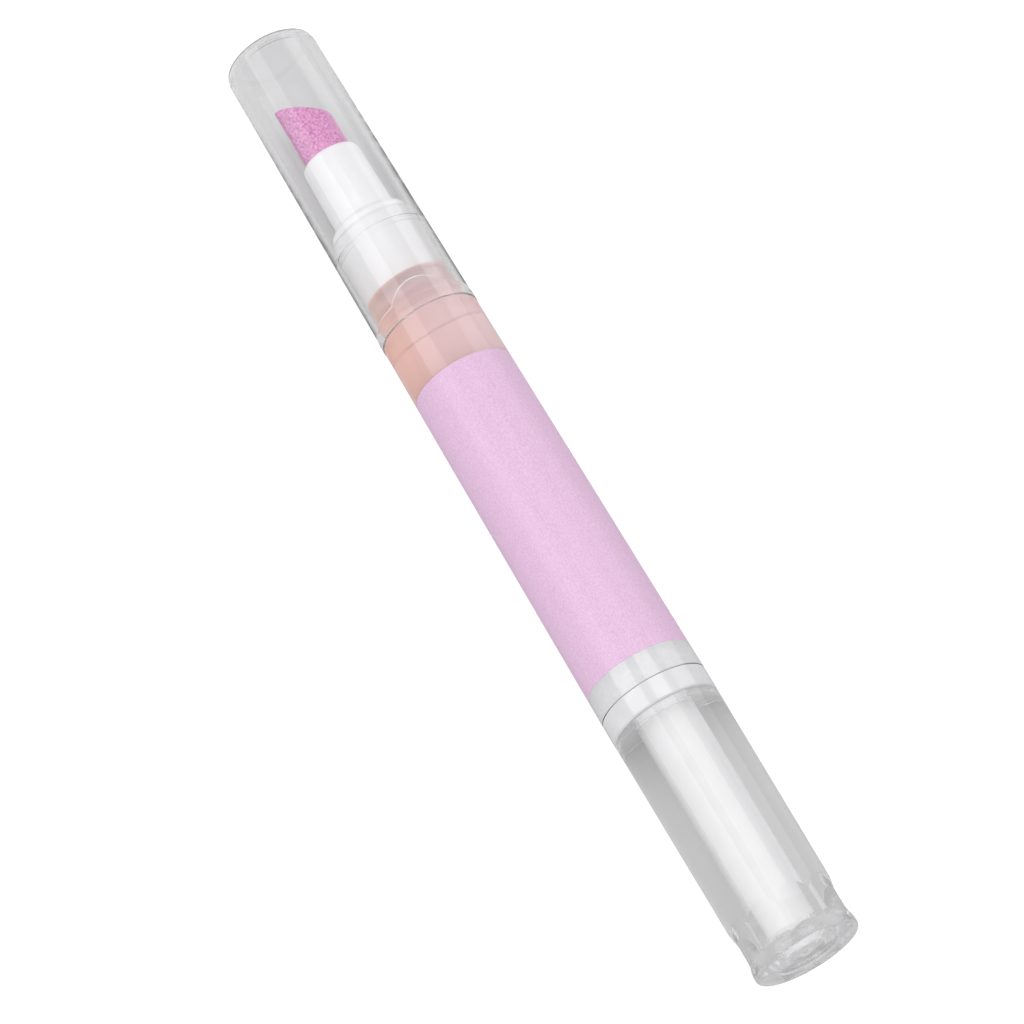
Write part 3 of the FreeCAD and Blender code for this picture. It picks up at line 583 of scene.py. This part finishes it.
MATERIALS = {
    "clear_cap": clear_plastic("clear_cap", (0.985, 0.985, 0.988), smooth=0.0, satin=0.04),
    "clear_barrel": clear_plastic("clear_barrel", (0.99, 0.99, 0.992), smooth=0.0, satin=0.04),
    "clear_knob": clear_plastic("clear_knob", (0.99, 0.99, 0.992), smooth=0.0, satin=0.04),
    # Painted shade: a darker copy of the clear knob, which greys the flats and the end flange and dims
    # what shows through them
    "satin_painted_shade_knob_end": clear_plastic("satin_painted_shade_knob_end", (0.92, 0.92, 0.922), smooth=0.06, satin=0.12),
    "wet_wall": wet_wall(),
    # Painted highlight: a whitish frosted skin on the wave's slope draws the bright line that
    # reflections make there
    "wave_painted_highlight": frosted("wave_painted_highlight", dark=(0.90, 0.87, 0.88), light=(0.98, 0.97, 0.98),
                         roughness=0.5, clear_share=0.3, gloss=0.5),
    "frosted_end": frosted("frosted_end", dark=(0.80, 0.80, 0.81), light=(0.86, 0.86, 0.87),
                           roughness=0.1, clear_share=0.3, gloss=1.0),
    "oil": oil(),
    "white_plastic": moulded("white_plastic", dark=(0.92, 0.915, 0.92), light=(0.95, 0.945, 0.95),
                             roughness=0.32),
    "milky_plastic": moulded("milky_plastic", dark=(0.68, 0.68, 0.69), light=(0.73, 0.73, 0.74),
                             roughness=0.13, Specular_IOR_Level=1.0),
    "pawl_plastic": moulded("pawl_plastic", dark=(0.72, 0.71, 0.69), light=(0.78, 0.77, 0.75),
                            roughness=0.45),
    "piston_plastic": moulded("piston_plastic", dark=(0.66, 0.65, 0.65), light=(0.72, 0.71, 0.71),
                              roughness=0.5),
    "label_film": label_film(),
    "porous_tip": porous_tip(),
}


# Pieces
def add(piece, finish, node):
    """Gives a new piece its finish, and lets it stand for a CAD node."""
    piece.data.materials.append(MATERIALS[finish])
    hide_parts(node)
    return piece


def finish_faces(piece, finishes, finish_at):
    """Gives some faces of a piece other finishes: finish_at names one of them, or None, for a
    face's station and radius."""
    for name in finishes:
        piece.data.materials.append(MATERIALS[name])
    for face in piece.data.polygons:
        name = finish_at(face.center.x / MM, math.hypot(face.center.y, face.center.z) / MM)
        if name:
            face.material_index = 1 + finishes.index(name)


knob = lathe("clear_knob", knob_outline, knob_flat_angles(), False)
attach(add(knob, "clear_knob", "knob"), "knob_body")
finish_faces(knob, ["satin_painted_shade_knob_end"], knob_finish)
barrel = lathe("clear_barrel", barrel_outline, even_angles(), True)
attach(add(barrel, "clear_barrel", "barrel"), "pen_body")
finish_faces(barrel, ["wet_wall", "wave_painted_highlight", "frosted_end"], barrel_finish)
cap = lathe("clear_cap", cap_outline, even_angles(), False)
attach(add(cap, "clear_cap", "cap"), "cap_body")

# The oil keeps its front end and gives way to the piston
oil_column = add(lathe("oil_column", oil_outline, even_angles(), False), "oil", "oil_fill")
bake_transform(oil_column)

for subpart in frame["record"]["subparts"]:
    finish = MATERIALS.get(subpart["material_slot"])
    for slot in frame["nodes"][subpart["node"]].material_slots:
        slot.material = finish or MATERIALS["clear_barrel"]


# Stage, lights and camera. Distances of the lights and the floor are in metres.
LIGHT_DISTANCE = 0.7
LIGHT_BACK = -0.6
LIGHT_FRONT = 0.8
SHORT_LIGHT_FRONT = 0.37
WORLD_COLOR = (0.455, 0.455, 0.465)

# The floor is white to the camera, and grey where clear pieces or reflections show it
FLOOR_LEVEL = -BARREL_BACK_RADIUS * MM
FLOOR_SIZE = 4.0
FLOOR_ROUGHNESS = 0.9
FLOOR_GREY = (0.62, 0.62, 0.62)
FLOOR_WHITE_BASE = (0.4, 0.4, 0.4)
FLOOR_WHITE_GLOW = 0.8

CAMERA_LENS = 150.0
CAMERA_SENSOR = 36.0
CAMERA_CLIP = 10 * MM
CAMERA_AZIMUTH = math.radians(241.7)
CAMERA_ELEVATION = math.radians(64.2)
CAMERA_DISTANCE = 500.7 * MM
LOOK_AT = Vector((64.33, 2.96, -0.68)) * MM

# Light passes many clear surfaces, and turns back inside them, before it leaves the pen
CLEAR_BOUNCES = 40


def strip_light(name, low_deg, high_deg, back, front, radiance, seen_through):
    """A long soft box along the pen, from back to front in metres, between two angles right of
    the side that faces the camera. One that isn't seen through clear pieces makes no glints in
    their edges."""
    middle = math.radians((low_deg + high_deg) / 2)
    half_span = math.radians((high_deg - low_deg) / 2)
    towards = math.cos(middle) * FRONT + math.sin(middle) * RIGHT
    width = 2 * LIGHT_DISTANCE * math.tan(half_span)
    lamp = bpy.data.lights.new(name, "AREA")
    lamp.shape = "RECTANGLE"
    lamp.size = front - back
    lamp.size_y = width
    lamp.energy = radiance * math.pi * lamp.size * width
    light = bpy.data.objects.new(name, lamp)
    light.visible_transmission = seen_through
    bpy.context.collection.objects.link(light)
    along = Vector((1, 0, 0))
    turn = Matrix((along, towards.cross(along), towards)).transposed()
    place = LIGHT_DISTANCE * towards + (back + front) / 2 * along
    light.matrix_world = Matrix.LocRotScale(place, turn.to_quaternion(), None)


floor_mesh = bpy.data.meshes.new("floor")
half_floor = FLOOR_SIZE / 2
floor_mesh.from_pydata(
    [(-half_floor, -half_floor, FLOOR_LEVEL), (half_floor, -half_floor, FLOOR_LEVEL),
     (half_floor, half_floor, FLOOR_LEVEL), (-half_floor, half_floor, FLOOR_LEVEL)],
    [], [(0, 1, 2, 3)])
floor = bpy.data.objects.new("floor", floor_mesh)
bpy.context.collection.objects.link(floor)
floor_material, floor_shader = surface("floor_grey", FLOOR_GREY, FLOOR_ROUGHNESS)
floor_nodes = floor_material.node_tree.nodes
floor_links = floor_material.node_tree.links
white = floor_nodes.new("ShaderNodeBsdfPrincipled")
white.inputs["Base Color"].default_value = (*FLOOR_WHITE_BASE, 1)
white.inputs["Emission Color"].default_value = (1, 1, 1, 1)
white.inputs["Emission Strength"].default_value = FLOOR_WHITE_GLOW
seen = floor_nodes.new("ShaderNodeLightPath")
pick = floor_nodes.new("ShaderNodeMixShader")
floor_links.new(seen.outputs["Is Camera Ray"], pick.inputs["Fac"])
floor_links.new(floor_shader.outputs["BSDF"], pick.inputs[1])
floor_links.new(white.outputs["BSDF"], pick.inputs[2])
floor_links.new(pick.outputs["Shader"], floor_nodes["Material Output"].inputs["Surface"])
floor.data.materials.append(floor_material)

strip_light("left_box", low_deg=-52, high_deg=-13, back=LIGHT_BACK, front=LIGHT_FRONT,
            radiance=1.6, seen_through=False)
strip_light("right_box", low_deg=6, high_deg=36, back=LIGHT_BACK, front=SHORT_LIGHT_FRONT,
            radiance=1.5, seen_through=False)
strip_light("right_fill", low_deg=55, high_deg=95, back=LIGHT_BACK, front=LIGHT_FRONT,
            radiance=0.85, seen_through=True)

world = bpy.data.worlds.new("studio")
world.use_nodes = True
world.node_tree.nodes["Background"].inputs["Color"].default_value = (*WORLD_COLOR, 1)
bpy.context.scene.world = world

looking = Vector((
    -math.sin(CAMERA_AZIMUTH) * math.cos(CAMERA_ELEVATION),
    math.cos(CAMERA_AZIMUTH) * math.cos(CAMERA_ELEVATION),
    -math.sin(CAMERA_ELEVATION)))
camera_data = bpy.data.cameras.new("camera")
camera_data.lens = CAMERA_LENS
camera_data.sensor_width = CAMERA_SENSOR
camera_data.clip_start = CAMERA_CLIP
camera = bpy.data.objects.new("camera", camera_data)
camera.location = LOOK_AT - looking * CAMERA_DISTANCE
camera.rotation_euler = looking.to_track_quat("-Z", "Y").to_euler()
bpy.context.collection.objects.link(camera)
bpy.context.scene.camera = camera
bpy.context.scene.view_settings.view_transform = "Standard"
bpy.context.scene.cycles.max_bounces = CLEAR_BOUNCES
bpy.context.scene.cycles.transmission_bounces = CLEAR_BOUNCES
bpy.context.scene.cycles.glossy_bounces = CLEAR_BOUNCES
bpy.context.scene.cycles.transparent_max_bounces = CLEAR_BOUNCES
